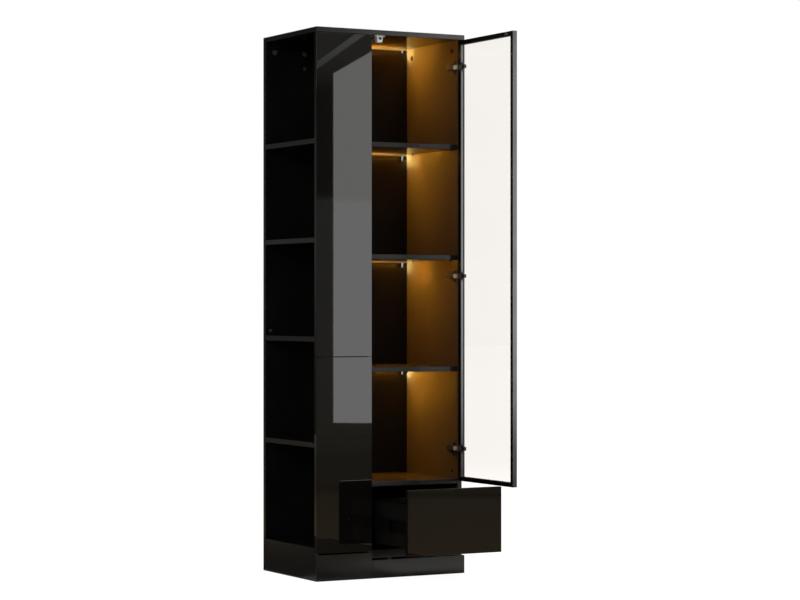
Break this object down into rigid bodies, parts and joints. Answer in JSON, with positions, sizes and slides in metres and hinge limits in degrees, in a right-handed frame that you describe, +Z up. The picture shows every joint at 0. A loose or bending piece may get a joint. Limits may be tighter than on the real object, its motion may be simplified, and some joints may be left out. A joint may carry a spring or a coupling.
{
  "type": "bookcase with glass door",
  "caption": "Tall black bookcase: glazed cabinet with a framed door and lit shelves over a drawer, beside a narrow shelf unit that opens to the left.",
  "frame": {"origin": "on the floor, at the centre of the carcass footprint, under the rail below the cabinet", "axes": "+X to the right seen from the front, +Y towards the wall behind, +Z up"},
  "size_m": [0.554, 0.737, 1.8],
  "materials": {
    "board_black": "satin melamine",
    "gloss_black": "high gloss",
    "frame_black": "black anodised",
    "pane": "clear, faint warm tint",
    "gasket_black": "matt",
    "hinge_steel": "nickel plated",
    "slide_steel": "black zinc plated",
    "screw_steel": "zinc plated",
    "zinc": "die cast",
    "cap_plastic": "matt",
    "latch_white": "matt",
    "plunger_dark": "matt",
    "channel_alu": "satin",
    "diffuser": "opal",
    "tape": "matt",
    "feed_end": "matt",
    "beech": "raw"
  },
  "bodies": {
    "carcass": {"top_panel": "board_black", "right_side_panel": "board_black", "centre_divider": "board_black", "rear_upright": "board_black", "front_panel_upper": "gloss_black", "front_panel_lower": "gloss_black", "cabinet_back_panel": "board_black", "side_unit_floor": "board_black", "drawer_bay_ceiling": "board_black", "drawer_bay_floor": "board_black", "side_shelf_1": "board_black", "side_shelf_2": "board_black", "side_shelf_3": "board_black", "side_shelf_4": "board_black", "cabinet_shelf_1": "board_black", "cabinet_shelf_2": "board_black", "cabinet_shelf_3": "board_black", "plinth_front_left": "gloss_black", "plinth_front_right": "gloss_black", "plinth_side_left": "board_black", "plinth_rear_rails": "board_black", "plinth_support_rail": "board_black", "led_channels": "channel_alu", "led_diffusers": "diffuser", "led_tapes": "tape", "led_feed_ends": "feed_end", "hinge_plates": "hinge_steel", "hinge_arms": "hinge_steel", "touch_latch_body": "latch_white", "slide_outer_members": "slide_steel", "hardware_screws": "screw_steel", "cam_discs": "zinc", "cam_bolts": "screw_steel", "cover_caps": "cap_plastic", "dowels": "beech", "shelf_pins": "screw_steel"},
    "door": {"door_hinge_stile": "frame_black", "door_free_stile": "frame_black", "door_top_rail": "frame_black", "door_bottom_rail": "frame_black", "door_corner_keys": "zinc", "door_glass": "pane", "glass_gasket": "gasket_black", "latch_strike": "screw_steel", "hinge_cups": "hinge_steel", "hinge_pins": "screw_steel"},
    "drawer": {"drawer_front": "gloss_black", "drawer_side_left": "board_black", "drawer_side_right": "board_black", "drawer_back": "board_black", "drawer_bottom": "board_black", "drawer_dowels": "beech", "drawer_screws": "screw_steel", "slide_inner_members": "slide_steel"},
    "drawer_runners": {"slide_middle_members": "slide_steel"},
    "latch_plunger": {"touch_latch_plunger": "plunger_dark"}
  },
  "joints": [
    {"name": "door_hinge", "type": "hinge", "parent": "carcass", "child": "door", "pos_m": [0.271, -0.194, 1], "axis": [0, 0, 1], "range_deg": [-90, 15]},
    {"name": "drawer_slide", "type": "slide", "parent": "carcass", "child": "drawer", "axis": [0, -1, 0], "range_m": [-0.2414, 0.0736]},
    {"name": "runner_slide", "type": "slide", "parent": "carcass", "child": "drawer_runners", "axis": [0, -1, 0], "range_m": [-0.1207, 0.0368]},
    {"name": "latch_push", "type": "slide", "parent": "carcass", "child": "latch_plunger", "axis": [0, -1, 0], "range_m": [-0.003, 0], "stiffness_N_per_m": 100}
  ],
  "couplings": [
    {"joint": "runner_slide", "follows": "drawer_slide", "ratio": 0.5}
  ]
}
